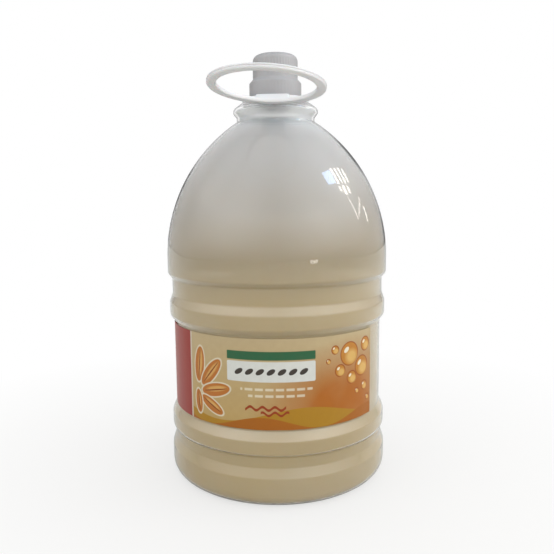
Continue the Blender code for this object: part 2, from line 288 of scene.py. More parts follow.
soft_lamp("left_lamp", (-0.9, -0.5, 0.2), 1.3, (0.9, 0.9), 1.45, (0.98, 0.99, 1.0))
soft_lamp("right_lamp", (1.0, -0.3, 0.25), 1.3, (0.9, 0.9), 1.9, (1.0, 0.99, 0.98))
soft_lamp("front_lamp", (0.5, -1.0, 0.6), 1.5, (1.2, 0.8), 1.5, (1.0, 0.99, 0.97))
soft_lamp("top_lamp", (0.2, 0.1, 1.0), 1.4, (1.2, 1.2), 0.3, (0.97, 0.98, 1.0))
soft_lamp("spot_lamp", (0.576, -0.80, -0.06), 1.3, (0.16, 0.05), 4.0, (1.0, 0.97, 0.92), True)

# The window on the right, high up: one bluer pane and slatted white ones, and three thin gleams
# below. Each is given by its middle, across and down from the window's corner, its size, its turn
# in degrees, its radiance and its colour.
WINDOW_CORNER = Vector((0.654, -0.152, 0.984))
WINDOW_ACROSS = Vector((0.155, 0.934, -0.323)).normalized()
WINDOW_AWAY = Vector((0.772, 0.085, 0.618))
SKY_BLUE = (0.45, 0.66, 1.0)
DAY_WHITE = (1.0, 0.96, 0.92)
PANES = [
    (0.10, 0.09, 0.19, 0.15, 0.0, 5.5, SKY_BLUE),
    (0.24, 0.09, 0.04, 0.17, 0.0, 8.0, DAY_WHITE),
    (0.325, 0.09, 0.035, 0.16, 0.0, 6.0, DAY_WHITE),
    (0.41, 0.09, 0.035, 0.16, 0.0, 6.5, DAY_WHITE),
    (0.50, 0.09, 0.04, 0.13, 0.0, 5.0, DAY_WHITE),
    (0.23, 0.23, 0.05, 0.05, 0.0, 5.5, DAY_WHITE),
    (0.32, 0.24, 0.05, 0.09, 0.0, 7.0, DAY_WHITE),
    (0.42, 0.23, 0.05, 0.07, 0.0, 5.0, DAY_WHITE),
    (0.40, 0.42, 0.026, 0.25, 35.0, 4.0, DAY_WHITE),
    (0.57, 0.38, 0.026, 0.26, -38.0, 3.6, DAY_WHITE),
    (0.74, 0.41, 0.035, 0.16, 30.0, 4.0, DAY_WHITE),
]
window_away = (WINDOW_AWAY - WINDOW_ACROSS * WINDOW_AWAY.dot(WINDOW_ACROSS)).normalized()
window_down = WINDOW_ACROSS.cross(window_away).normalized()
for number, (out, down, width, height, turn, radiance, colour) in enumerate(PANES):
    place = WINDOW_CORNER + WINDOW_ACROSS * out + window_down * down
    pane_across = Matrix.Rotation(math.radians(turn), 3, window_away) @ WINDOW_ACROSS
    lamp(f"window_pane_{number}", place, pane_across, window_away, (width, height), radiance, colour)

FLOOR_HALF = 3.0
FLOOR_WHITE_FROM = 0.1
FLOOR_WHITE_NEAR = 0.72
floor_mesh = bpy.data.meshes.new("floor")
floor_corners = [(-FLOOR_HALF, -FLOOR_HALF, 0.0), (FLOOR_HALF, -FLOOR_HALF, 0.0),
                 (FLOOR_HALF, FLOOR_HALF, 0.0), (-FLOOR_HALF, FLOOR_HALF, 0.0)]
floor_mesh.from_pydata(floor_corners, [], [(0, 1, 2, 3)])
floor = bpy.data.objects.new("floor", floor_mesh)
bpy.context.scene.collection.objects.link(floor)
floor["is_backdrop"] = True

floor_finish = Finish("pale_floor", (0.74, 0.72, 0.67), 0.7)
floor_out = floor_finish.node("ShaderNodeVectorMath", {"operation": "LENGTH"}, {0: floor_finish.place()}, 1)
floor_seen = floor_finish.node("ShaderNodeLightPath", output="Is Camera Ray")
floor_white = floor_finish.node("ShaderNodeEmission", None, {"Color": (1.0, 1.0, 1.0, 1.0)})
floor_share = (FLOOR_WHITE_NEAR + (floor_out - FLOOR_WHITE_FROM)).clamped()
floor_finish.cover(floor_share * floor_seen, floor_white)
floor_mesh.materials.append(floor_finish.material)


# Bottle. One blown shell of clear plastic, a little under a millimetre thick, with two grooves,
# three grip ribs, a tall shoulder, a bulge under the neck and a pushed-up base, and the mould's
# two parting lines down its sides.
WALL = 0.8 * MM
SHOULDER_R = 78.5 * MM
SHOULDER_ARC = 113.0 * MM
SHOULDER_START = 155.0 * MM
WAIST_R = 27.5 * MM
WAIST_HEIGHT = 3.0 * MM
BULGE_R = 29.9 * MM
BULGE_LOW = 3.1 * MM
BULGE_HIGH = 2.4 * MM
BULGE_CROWN = 4.0 * MM
BULGE_TOP_R = 24.6 * MM
NECK_R = 13.0 * MM
NECK_BORE_R = 10.9 * MM
NECK_HEIGHT = 29.8 * MM
SEAT_R = 15.6 * MM
COLLAR_GAP = 0.3 * MM
COLLAR_HEIGHT = 3.0 * MM
PUSH_UP = 9.0 * MM
HEEL_R = 9.6 * MM
FOOT_R = 78.2 * MM
FOOT_RING = 6.5 * MM
PARTING_HEIGHT = 0.1 * MM
PARTING_WIDTH = 0.3
WAVINESS = 0.07 * MM
WAVE_FADE = 20.0 * MM

arc_centre_r = SHOULDER_R - SHOULDER_ARC
waist_bottom = SHOULDER_START + math.sqrt(SHOULDER_ARC ** 2 - (WAIST_R - arc_centre_r) ** 2)
waist_top = waist_bottom + WAIST_HEIGHT
bulge_bottom = waist_top + BULGE_LOW
bulge_top = bulge_bottom + BULGE_HIGH
ledge = bulge_top + BULGE_CROWN
seat_top = ledge + COLLAR_GAP + COLLAR_HEIGHT + COLLAR_GAP
neck_top = ledge + NECK_HEIGHT


def rounded(corners, steps=7, straight=1):
    """A profile of (radius, height) through corners given with a fillet in mm: each fillet is an
    arc about centre = corner + bisector * fillet / sin(half angle), and straights are divided."""
    pieces = []
    for index, (radius, height, fillet) in enumerate(corners):
        corner = np.array((radius, height))
        if fillet == 0.0 or index in (0, len(corners) - 1):
            pieces.append(corner[None, :])
            continue
        before = np.array(corners[index - 1][:2]) - corner
        after = np.array(corners[index + 1][:2]) - corner
        before = before / np.linalg.norm(before)
        after = after / np.linalg.norm(after)
        half = math.acos(np.clip(before @ after, -1.0, 1.0)) / 2.0
        middle = (before + after) / np.linalg.norm(before + after)
        centre = corner + middle * fillet * MM / math.sin(half)
        spoke = corner + before * fillet * MM / math.tan(half) - centre
        sweep = math.pi - 2.0 * half
        side = math.copysign(1.0, before[0] * after[1] - before[1] * after[0])
        turn = -side * np.linspace(0.0, sweep, steps)
        cosine, sine = np.cos(turn), np.sin(turn)
        arc = np.stack([spoke[0] * cosine - spoke[1] * sine,
                        spoke[0] * sine + spoke[1] * cosine], axis=1)
        pieces.append(centre + arc)
    points = np.concatenate(pieces)
    if straight > 1:
        share = np.linspace(0.0, 1.0, straight, endpoint=False)[None, :, None]
        between = points[:-1, None, :] * (1.0 - share) + points[1:, None, :] * share
        points = np.concatenate([between.reshape(-1, 2), points[-1:]])
    return points


def inset(points, distance):
    """A profile moved inwards: each point goes along the mean normal of its two edges by
    distance / cos(half the angle between them). Distance is a number or one per point."""
    edge = np.diff(points, axis=0)
    edge = edge / np.linalg.norm(edge, axis=1)[:, None]
    before = np.vstack([edge[:1], edge])
    after = np.vstack([edge, edge[-1:]])
    mean = before + after
    mean = mean / np.linalg.norm(mean, axis=1)[:, None]
    stretch = np.maximum((mean * after).sum(axis=1), 0.5)
    inward = np.stack([mean[:, 1], -mean[:, 0]], axis=1)
    moved = points + inward * (np.broadcast_to(distance, len(points)) / stretch)[:, None]
    moved[points[:, 0] < 1e-9, 0] = 0.0
    return moved


def turned(profile, angles):
    """Points [angle, profile] of a profile turned about the bottle's axis, with the angle from
    the front towards the right: x = r sin a, y = axis - r cos a, z as it is."""
    radius, height = profile[:, 0], profile[:, 1]
    across = np.outer(np.sin(angles), radius)
    depth = axis_y - np.outer(np.cos(angles), radius)
    return np.stack([across, depth, np.broadcast_to(height, across.shape)], axis=-1)


def full_turn(steps):
    """Evenly spaced angles round a full turn."""
    return np.linspace(0.0, 2.0 * np.pi, steps, endpoint=False)


def surface(name, points, finish, body, stands_for=(), wrap=(True, False), sharp=35.0,
            print_map=None, mirrored=True):
    """Quads over a grid of points[u, v], closed round u or v as wrap says. Points in one place,
    as at a pole, are merged. print_map is a grid of the same size with each point's UV."""
    rows, columns = points.shape[:2]
    index = np.arange(rows * columns).reshape(rows, columns)
    index = np.vstack([index, index[:1]]) if wrap[0] else index
    index = np.hstack([index, index[:, :1]]) if wrap[1] else index
    quads = np.stack([index[:-1, :-1], index[:-1, 1:], index[1:, 1:], index[1:, :-1]], axis=-1)
    mesh = bpy.data.meshes.new(name)
    mesh.from_pydata(points.reshape(-1, 3), [], quads.reshape(-1, 4))
    if print_map is not None:
        corner_vertex = np.zeros(len(mesh.loops), dtype=np.int32)
        mesh.loops.foreach_get("vertex_index", corner_vertex)
        layer = mesh.uv_layers.new(name="print")
        layer.data.foreach_set("uv", print_map.reshape(-1, 2)[corner_vertex].ravel())
    work = bmesh.new()
    work.from_mesh(mesh)
    bmesh.ops.remove_doubles(work, verts=work.verts, dist=1e-7)
    work.to_mesh(mesh)
    work.free()
    mesh.shade_smooth()
    mesh.set_sharp_from_angle(angle=math.radians(sharp))
    mesh.materials.append(finish.material)
    made = bpy.data.objects.new(name, mesh)
    made.visible_glossy = mirrored
    bpy.context.scene.collection.objects.link(made)
    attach(made, body)
    if stands_for:
        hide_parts(*stands_for)
    return made


# The outer side, from the ledge under the collar down to the middle of the base
bulge_corners = [
    (NECK_BORE_R, ledge, 0.0),
    (BULGE_TOP_R, ledge, 1.2),
    (BULGE_R, bulge_top, 3.0),
    (BULGE_R, bulge_bottom, 2.0),
    (WAIST_R, waist_top, 1.5),
    (WAIST_R, waist_bottom, 0.0),
]
top_angle = math.acos((WAIST_R - arc_centre_r) / SHOULDER_ARC)
shoulder_angle = np.linspace(top_angle, 0.0, 49)[1:-1]
shoulder = np.stack([arc_centre_r + SHOULDER_ARC * np.cos(shoulder_angle),
                     SHOULDER_START + SHOULDER_ARC * np.sin(shoulder_angle)], axis=1)
rib_corners = [
    (SHOULDER_R, SHOULDER_START, 0.0),
    (SHOULDER_R, 144.6 * MM, 4.0),
    (75.6 * MM, 141.2 * MM, 1.4),
    (75.6 * MM, 130.4 * MM, 6.0),
    (77.7 * MM, 124.4 * MM, 6.0),
    (77.7 * MM, 115.4 * MM, 4.0),
    (74.5 * MM, 111.2 * MM, 2.0),
    (74.5 * MM, 50.8 * MM, 2.0),
    (77.7 * MM, 44.6 * MM, 4.0),
    (77.7 * MM, 36.0 * MM, 3.0),
    (76.0 * MM, 33.8 * MM, 1.2),
    (76.0 * MM, 27.0 * MM, 1.6),
    (FOOT_R, 20.4 * MM, 5.0),
    (FOOT_R, 0.0, HEEL_R / MM),
    (FOOT_R - HEEL_R - FOOT_RING, 0.0, 0.0),
]
push_share = np.linspace(0.0, 1.0, 15)[1:] * np.pi / 2.0
foot_inner = FOOT_R - HEEL_R - FOOT_RING
push_up = np.stack([foot_inner * np.cos(push_share), PUSH_UP * np.sin(push_share)], axis=1)
push_up[-1, 0] = 0.0
body_profile = np.concatenate([rounded(bulge_corners), shoulder, rounded(rib_corners, straight=2), push_up])

# The neck finish, from the lip down to the ledge, with the bead that snaps the collar down
neck_corners = [
    (NECK_BORE_R, neck_top, 0.0),
    (NECK_R, neck_top, 0.5),
    (NECK_R, seat_top + 3.3 * MM, 0.3),
    (SEAT_R + 0.7 * MM, seat_top + 1.3 * MM, 0.2),
    (SEAT_R + 0.7 * MM, seat_top + 0.35 * MM, 0.2),
    (SEAT_R, seat_top, 0.0),
    (SEAT_R, ledge, 0.0),
]
inner_profile = inset(body_profile, WALL)[::-1]
bottle_profile = np.concatenate([inner_profile, rounded(neck_corners, steps=4), body_profile[1:]])
outer_from = len(bottle_profile) - len(body_profile) + 1

seam_columns = np.radians([89.4, 89.7, 90.0, 90.3, 90.6])
bottle_angles = np.unique(np.concatenate([full_turn(160), seam_columns, seam_columns + np.pi]))
bottle_grid = turned(bottle_profile, bottle_angles)

# Outer side only: r grows by the parting line's ridge and, on the shoulder, by slow waves
from_parting = np.degrees(bottle_angles)[:, None] - np.array([90.0, 270.0])
ridge = PARTING_HEIGHT * np.exp(-(from_parting / PARTING_WIDTH) ** 2).sum(axis=1)
heights = bottle_profile[:, 1]
outer = np.arange(len(heights)) >= outer_from
on_outside = outer & (heights > HEEL_R) & (heights < waist_bottom)
over_ribs = np.clip((heights - SHOULDER_START) / WAVE_FADE, 0.0, 1.0)
under_waist = np.clip((waist_bottom - heights) / WAVE_FADE, 0.0, 1.0)
slow_wave = np.sin(3.0 * bottle_angles[:, None] + 41.0 * heights)
quick_wave = np.sin(7.0 * bottle_angles[:, None] - 97.0 * heights + 1.0)
waves = WAVINESS * (slow_wave + 0.6 * quick_wave) * over_ribs * under_waist
growth = (ridge[:, None] + waves) * on_outside
bottle_grid[..., 0] += np.sin(bottle_angles)[:, None] * growth
bottle_grid[..., 1] -= np.cos(bottle_angles)[:, None] * growth

clear = Finish("clear_pet", (1.0, 1.0, 1.0), 0.03, transmission_weight=1.0, ior=1.5)
lamp_rays = clear.node("ShaderNodeLightPath", output="Is Shadow Ray")
let_through = clear.node("ShaderNodeBsdfTransparent", None, {"Color": (0.97, 0.975, 0.97, 1.0)})
clear.cover(lamp_rays, let_through)
surface("clear_bottle", bottle_grid, clear, "filled_bottle", ["bottle"], sharp=50.0)


# Soap. An opaque pearly liquid that fills the bottle and clings to the inside of the neck's bulge.
# It stands just clear of the wall, and under the neck it draws back a little more, so that the wall
# shows as a clear rim along the shoulder's edges.
SOAP_LEVEL = 245.0 * MM
FILM_TOP = 260.0 * MM
FILM = 0.4 * MM
SOAP_GAP = 0.12 * MM
DRAWN_BACK = 0.9 * MM
DRAWN_FROM = 190.0 * MM
DRAWN_RAMP = 40.0 * MM

drawn_share = np.clip((body_profile[:, 1] - DRAWN_FROM) / DRAWN_RAMP, 0.0, 1.0)
soap_back = SOAP_GAP + DRAWN_BACK * drawn_share
soap_depth = WALL + soap_back
soap_outside = inset(body_profile, soap_depth)
soap_outside = soap_outside[soap_outside[:, 1] < FILM_TOP]
film = inset(body_profile, soap_depth + FILM)
film = film[(film[:, 1] < FILM_TOP - FILM) & (film[:, 1] > SOAP_LEVEL)][::-1]
film_foot = film[0]
soap_top = [(0.0, SOAP_LEVEL), (film_foot[0] * 0.5, SOAP_LEVEL), (film_foot[0], SOAP_LEVEL)]
soap_profile = np.concatenate([soap_top, film, soap_outside])
soap_grid = turned(soap_profile, full_turn(160))

soap = Finish("pearl_soap", srgb(178, 162, 130), 0.35, subsurface_weight=0.12, subsurface_scale=0.01)
soap_swirl = soap.noise(9.0, 3.0, (1.0, 1.0, 2.2))
soap_height = soap.height()
# Higher up, the soap's colour is painted greyer and then near white, up into the neck: a painted reflection
# of the bright room above, not a change in the soap itself. The swirl mixed in after is the soap's own
# pearly tone.
soap_tone_and_painted_reflection = soap.mix(((soap_height - 0.13) / 0.06).clamped(), srgb(195, 171, 120), srgb(169, 159, 143))
soap_tone_and_painted_reflection = soap.mix(((soap_height - 0.195) / 0.04).clamped(), soap_tone_and_painted_reflection, srgb(200, 197, 194))
soap_tone_and_painted_reflection = soap.mix(((soap_height - 0.236) / 0.012).clamped(), soap_tone_and_painted_reflection, srgb(232, 233, 233))
soap_tone_and_painted_reflection = soap.mix(((soap_swirl - 0.48) * 3.0).clamped() * 0.3, soap_tone_and_painted_reflection, srgb(214, 206, 190))
soap.drive("Base Color", soap_tone_and_painted_reflection)
soap.drive("Alpha", 1.0 - ((soap_height - 0.2475) / 0.003).clamped() * 0.55)
surface("soap_fill", soap_grid, soap, "filled_bottle", ["liquid_soap"], sharp=60.0)


# Label. A satin film printed in creams, ambers and a red side panel, wrapped round the flat panel
# and stuck down, with its right end in front and its left end at the back.
LABEL_R = 74.55 * MM
LABEL_FILM = 0.25 * MM
LABEL_LOW = 51.7 * MM
LABEL_HIGH = 110.3 * MM
LABEL_RIGHT = 56.0
LABEL_LEFT = -180.0

label_angles = np.radians(np.linspace(LABEL_LEFT, LABEL_RIGHT, 180))
label_heights = np.linspace(LABEL_LOW, LABEL_HIGH, 25)
label_turn = np.append(label_heights[::-1], label_heights)
label_lift = np.append(np.full(25, LABEL_FILM), np.zeros(25))
ripple = 0.05 * MM * np.sin(9.0 * label_angles)[:, None] * np.sin(180.0 * label_turn)[None, :]
end_lift = 0.25 * MM * np.exp(-((label_angles - label_angles[-1]) / 0.03) ** 2)[:, None]
label_radius = LABEL_R + label_lift[None, :] + np.maximum(ripple, 0.0) + end_lift
label_grid = np.stack([np.sin(label_angles)[:, None] * label_radius,
                       axis_y - np.cos(label_angles)[:, None] * label_radius,
                       np.broadcast_to(label_turn, label_radius.shape)], axis=-1)
label_share = np.broadcast_to(np.linspace(0.0, 1.0, 180)[:, None], label_radius.shape)
label_rise = np.broadcast_to((label_turn - LABEL_LOW) / (LABEL_HIGH - LABEL_LOW), label_radius.shape)

printed = Finish("printed_film", srgb(190, 168, 126), 0.33, coat_weight=0.08, specular_ior_level=0.25)
print_uv = printed.node("ShaderNodeUVMap", {"uv_map": "print"})
label_length = math.radians(LABEL_RIGHT - LABEL_LEFT) * LABEL_R / MM
front_at = math.radians(-LABEL_LEFT) * LABEL_R / MM
across = printed.node("ShaderNodeSeparateXYZ", None, {0: print_uv}, 0) * label_length - front_at
upward = printed.node("ShaderNodeSeparateXYZ", None, {0: print_uv}, 1) * ((LABEL_HIGH - LABEL_LOW) / MM)


def beyond(value, edge, blur=0.4):
    """1 where a value is past an edge and 0 before it, soft over the blur, all in mm."""
    return ((value - edge) / blur + 0.5).clamped()


def oval(centre, reach, turn=0.0, blur=0.06):
    """1 inside an ellipse: 1 - root((along / a) squared + (aside / b) squared) is above nil."""
    cosine, sine = math.cos(math.radians(turn)), math.sin(math.radians(turn))
    away_u, away_v = across - centre[0], upward - centre[1]
    along = (away_u * cosine + away_v * sine) / reach[0]
    aside = (away_v * cosine - away_u * sine) / reach[1]
    return beyond(1.0 - (along * along + aside * aside) ** 0.5, 0.0, blur)


def plate(left, right, low, high, corner):
    """1 inside a rectangle with rounded corners: the distance past its core is below the corner."""
    past_u = ((across - (left + right) / 2.0).absolute() - ((right - left) / 2.0 - corner)).at_least(0.0)
    past_v = ((upward - (low + high) / 2.0).absolute() - ((high - low) / 2.0 - corner)).at_least(0.0)
    return 1.0 - beyond((past_u * past_u + past_v * past_v) ** 0.5, corner)


# The ground: creams that run into ambers, with two rows of hills along the bottom
ink_grain = printed.noise(260.0, 2.0)
cloud = printed.noise(26.0, 3.0)
tone = printed.mix(beyond(upward, 34.0, 60.0), srgb(180, 150, 92), srgb(186, 168, 132))
tone = printed.mix(oval((44.0, 10.0), (44.0, 32.0), 12.0, 0.9) * 0.95, tone, srgb(166, 92, 8))
tone = printed.mix(oval((-200.0, 8.0), (60.0, 34.0), 0.0, 0.9) * 0.8, tone, srgb(170, 104, 22))
tone = printed.mix((cloud - 0.4).clamped() * 0.5, tone, srgb(196, 178, 138))
hill = 9.0 + 5.0 * (across * 0.055 + 0.6).sine()
tone = printed.mix(1.0 - beyond(upward - hill, 0.0, 0.5), tone, srgb(166, 122, 26))
hill_low = 4.0 + 4.0 * (across * 0.08 + 2.4).sine()
tone = printed.mix(1.0 - beyond(upward - hill_low, 0.0, 0.5), tone, srgb(160, 92, 12))

# Petals on the left and bubbles on the right, in browns and creams. A petal is its middle, its
# half length and half width and its turn in degrees, and a bubble its middle and its radius
PETAL_EDGE = srgb(214, 204, 178)
PETAL_BROWN = srgb(178, 108, 44)
PETAL_LIGHT = srgb(206, 158, 88)
PETAL_VEIN = srgb(126, 62, 22)
PETALS = [
    ((-56.0, 38.0), (13.0, 5.2), 84.0),
    ((-46.0, 34.0), (13.0, 5.2), 50.0),
    ((-42.5, 23.0), (12.5, 5.2), 12.0),
    ((-45.5, 12.5), (11.0, 4.6), -28.0),
    ((-57.0, 13.0), (9.0, 4.0), -84.0),
]
for (right, up), (long, wide), turn in PETALS:
    tone = printed.mix(oval((right, up), (long, wide), turn), tone, PETAL_EDGE)
    tone = printed.mix(oval((right, up), (long - 1.2, wide - 0.9), turn), tone, PETAL_BROWN)
    lit = oval((right + 0.8, up + 0.8), (long - 5.0, wide - 3.4), turn, 0.5)
    tone = printed.mix(lit, tone, PETAL_LIGHT)
    tone = printed.mix(oval((right, up), (long * 0.75, 0.45), turn), tone, PETAL_VEIN)

BUBBLE_EDGE = srgb(146, 74, 22)
BUBBLE_AMBER = srgb(184, 122, 44)
BUBBLE_LIGHT = srgb(212, 170, 96)
BUBBLE_SHINE = srgb(232, 222, 196)
BUBBLES = [(50.0, 45.0, 8.0), (62.0, 35.0, 7.0), (42.0, 35.0, 4.2), (66.0, 49.0, 5.0), (52.0, 29.0, 4.5),
           (65.0, 21.0, 3.4), (38.0, 49.0, 3.0), (57.0, 19.0, 2.0), (33.0, 42.0, 1.8), (69.0, 12.0, 2.2)]
for right, up, reach in BUBBLES:
    tone = printed.mix(oval((right, up), (reach, reach)), tone, BUBBLE_EDGE)
    tone = printed.mix(oval((right, up), (reach - 0.7, reach - 0.7)), tone, BUBBLE_AMBER)
    lit = oval((right + reach * 0.2, up - reach * 0.25), (reach * 0.6, reach * 0.55), 0.0, 0.7)
    tone = printed.mix(lit, tone, BUBBLE_LIGHT)
    shine = oval((right - reach * 0.35, up + reach * 0.35), (reach * 0.3, reach * 0.18), 40.0)
    tone = printed.mix(shine, tone, BUBBLE_SHINE)

# The pale plate with its row of dark seeds under a green band, then two rows of dashes and two
# rust-red wavy strokes
PLATE_LEFT = -33.0
PLATE_RIGHT = 24.0
tone = printed.mix(plate(PLATE_LEFT, PLATE_RIGHT, 31.0, 44.0, 1.0), tone, srgb(212, 214, 208))
tone = printed.mix(plate(PLATE_LEFT, PLATE_RIGHT, 45.0, 50.5, 0.6), tone, srgb(30, 92, 60))
for seed in range(7):
    tone = printed.mix(oval((-25.0 + seed * 6.9, 37.5), (3.0, 1.6), 32.0), tone, srgb(52, 50, 46))
for low, left, right in ((25.4, -24.0, 22.0), (21.2, -19.0, 17.0)):
    dashes = plate(left, right, low, low + 1.6, 0.3) * beyond((across * 0.95 + 0.4).sine(), -0.75, 0.3)
    tone = printed.mix(dashes * 0.7, tone, srgb(226, 218, 194))
for (right, up), half_length, half_width in (((-8.0, 14.0), 13.0, 0.9), ((-2.0, 10.5), 9.0, 0.8)):
    wave = upward + 1.1 * (across * 0.8).sine() - up
    near = 1.0 - beyond(wave.absolute(), half_width)
    stroke = near * (1.0 - beyond((across - right).absolute(), half_length))
    tone = printed.mix(stroke, tone, srgb(142, 50, 14))

# The dark red panel on the left side with its pale edge, and the pale plate at the back
panel_edge = beyond(across, -133.5) * (1.0 - beyond(across, -64.0))
side_panel = beyond(across, -132.0) * (1.0 - beyond(across, -65.5))
tone = printed.mix(panel_edge, tone, srgb(202, 190, 172))
tone = printed.mix(side_panel, tone, srgb(146, 46, 40))
tone = printed.mix(plate(-222.0, -150.0, 12.0, 50.0, 3.0), tone, srgb(202, 194, 176))
tone = printed.mix(ink_grain * 0.14, tone, srgb(110, 72, 36))
printed.drive("Base Color", tone)
printed.bump(printed.noise(90.0, 2.0), 0.25, 0.0004)
surface("wrap_label", label_grid, printed, "filled_bottle", ["label"], wrap=(False, True),
        sharp=50.0, print_map=np.stack([label_share, label_rise], axis=-1))


# Handle collar. A flat ring of white moulded plastic with a turned-down rim, snapped over the bead
# on the neck, with a lug in front that thins down to the hinge.
COLLAR_R = 23.4 * MM
COLLAR_RIM = 1.6 * MM
COLLAR_WEB = 1.2 * MM
HANDLE_TURNED = math.radians(-4.3)
HINGE_OUT = 24.8 * MM
HINGE_HALF = 11.0 * MM
STRAP = 1.4 * MM
HINGE_CLEAR = 0.15 * MM
HINGE_TAPER = 0.9 * MM
HINGE_THIN = 0.15

collar_low = ledge + COLLAR_GAP
collar_high = collar_low + COLLAR_HEIGHT
hinge_z = collar_high - STRAP / 2.0
collar_corners = [
    (SEAT_R + COLLAR_GAP, collar_high - COLLAR_WEB, 0.0),
    (SEAT_R + COLLAR_GAP, collar_high, 0.3),
    (COLLAR_R, collar_high, 0.7),
    (COLLAR_R, collar_low, 0.3),
    (COLLAR_R - COLLAR_RIM, collar_low, 0.3),
    (COLLAR_R - COLLAR_RIM, collar_high - COLLAR_WEB, 0.3),
    (SEAT_R + COLLAR_GAP + 0.01 * MM, collar_high - COLLAR_WEB, 0.0),
]

white = Finish("handle_white", srgb(236, 237, 238), 0.4, subsurface_weight=0.1, subsurface_scale=0.004)
white_cloud = white.noise(60.0, 3.0)
white.drive("Base Color", white.mix(white_cloud, srgb(222, 223, 224), srgb(232, 232, 233)))
white.drive("Roughness", 0.34 + white_cloud * 0.14)
white.bump(white.noise(1400.0, 2.0), 0.12, 0.0002)
surface("snap_collar", turned(rounded(collar_corners, steps=5), full_turn(144)), white,
        "collar", ["handle_collar"], wrap=(True, True), sharp=40.0)


def from_hinge(points):
    """Points in the hinge's own frame, x outwards from the neck and y along the hinge, set in
    place: turned about the vertical by the handle's direction and moved to the hinge line."""
    out, along, up = points[..., 0] + HINGE_OUT, points[..., 1], points[..., 2] + hinge_z
    direction = HANDLE_TURNED
    x = out * math.sin(direction) + along * math.cos(direction)
    y = axis_y - out * math.cos(direction) + along * math.sin(direction)
    return np.stack([x, y, up], axis=-1)


def strap_grid(line, thickness, half_width, steps=17):
    """A flat strap along a line of (out, up) points, with that thickness at each and rounded
    sides: the section at each point is a flattened loop, half width wide."""
    edge = np.gradient(line, axis=0)
    edge = edge / np.linalg.norm(edge, axis=1)[:, None]
    normal = np.stack([-edge[:, 1], edge[:, 0]], axis=1)
    around = full_turn(steps * 2)
    wide = np.sign(np.cos(around)) * np.abs(np.cos(around)) ** 0.25
    thick = np.sign(np.sin(around)) * np.abs(np.sin(around)) ** 0.7
    lift = thick[None, :] * (np.asarray(thickness) / 2.0)[:, None]
    out = line[:, :1] + normal[:, :1] * lift
    up = line[:, 1:] + normal[:, 1:] * lift
    along = wide[None, :] * np.broadcast_to(half_width, len(line))[:, None]
    return np.stack([out, along, up], axis=-1)


def capped(grid):
    """A tube's grid with its two ends drawn to a point in their middle, which closes them."""
    first = np.broadcast_to(grid[0].mean(axis=0), grid[0].shape)
    last = np.broadcast_to(grid[-1].mean(axis=0), grid[-1].shape)
    return np.concatenate([first[None], grid, last[None]])


lug_line = np.stack([np.linspace(-4.2 * MM, -HINGE_CLEAR, 9), np.zeros(9)], axis=1)
lug_thick = STRAP * np.clip(-lug_line[:, 0] / HINGE_TAPER, HINGE_THIN, 1.0)
surface("hinge_lug", from_hinge(capped(strap_grid(lug_line, lug_thick, HINGE_HALF))), white,
        "collar", wrap=(False, True), sharp=50.0)


# Carry ring. The same moulding goes on over a thin hinge into a strap, which drops over the
# neck's bulge to a ring with a groove round its outer edge, held up a little at its far side.
RING_R = 35.6 * MM
RING_BAND = 5.8 * MM
RING_THICK = 2.9 * MM
RING_GROOVE = 0.7 * MM
RING_RISE = math.radians(6.8)
RING_TWIST = math.radians(2.6)
STRAP_OUT = 9.4 * MM
STRAP_DROP = 6.3 * MM
STRAP_LAP = 1.2 * MM

ring_inner = RING_R - RING_BAND
ring_half = RING_THICK / 2.0
ring_corners = [
    (ring_inner + RING_BAND / 2.0, ring_half, 0.0),
    (RING_R, ring_half, 0.9),
    (RING_R, 0.45 * ring_half, 0.25),
    (RING_R - RING_GROOVE, 0.0, 0.35),
    (RING_R, -0.45 * ring_half, 0.25),
    (RING_R, -ring_half, 0.9),
    (ring_inner, -ring_half, 0.9),
    (ring_inner, ring_half, 0.9),
    (ring_inner + RING_BAND / 2.0 - 0.01 * MM, ring_half, 0.0),
]
ring_section = rounded(ring_corners, steps=5)
ring_angles = full_turn(160)
ring_out = RING_R - np.outer(np.cos(ring_angles), ring_section[:, 0])
ring_along = np.outer(np.sin(ring_angles), ring_section[:, 0])
ring_up = np.broadcast_to(ring_section[:, 1], ring_out.shape)
twisted_along = ring_along * math.cos(RING_TWIST) + ring_up * math.sin(RING_TWIST)
twisted_up = ring_up * math.cos(RING_TWIST) - ring_along * math.sin(RING_TWIST)
raised_out = ring_out * math.cos(RING_RISE) - twisted_up * math.sin(RING_RISE) + STRAP_OUT
raised_up = twisted_up * math.cos(RING_RISE) + ring_out * math.sin(RING_RISE) - STRAP_DROP
ring_grid = np.stack([raised_out, twisted_along, raised_up], axis=-1)
surface("ring_handle", from_hinge(ring_grid), white, "ring", ["carry_ring"],
        wrap=(True, True), sharp=40.0, mirrored=False)

strap_share = np.linspace(0.0, 1.0, 25)
strap_fall = strap_share ** 2 * (3.0 - 2.0 * strap_share)
strap_out = HINGE_CLEAR + strap_share * (STRAP_OUT + STRAP_LAP)
strap_line = np.stack([strap_out, -STRAP_DROP * strap_fall], axis=1)
strap_thick = STRAP * np.clip(strap_line[:, 0] / HINGE_TAPER, HINGE_THIN, 1.0)
surface("ring_strap", from_hinge(capped(strap_grid(strap_line, strap_thick, HINGE_HALF))), white,
        "ring", wrap=(False, True), sharp=50.0, mirrored=False)


# Neck thread. A helical ridge blown on the clear neck, one and three quarter turns, with its ends
# run out. It shows under the cap when the cap is unscrewed.
THREAD_LEAD = 4.2 * MM
THREAD_TURNS = 1.75
THREAD_OUT = 0.75 * MM

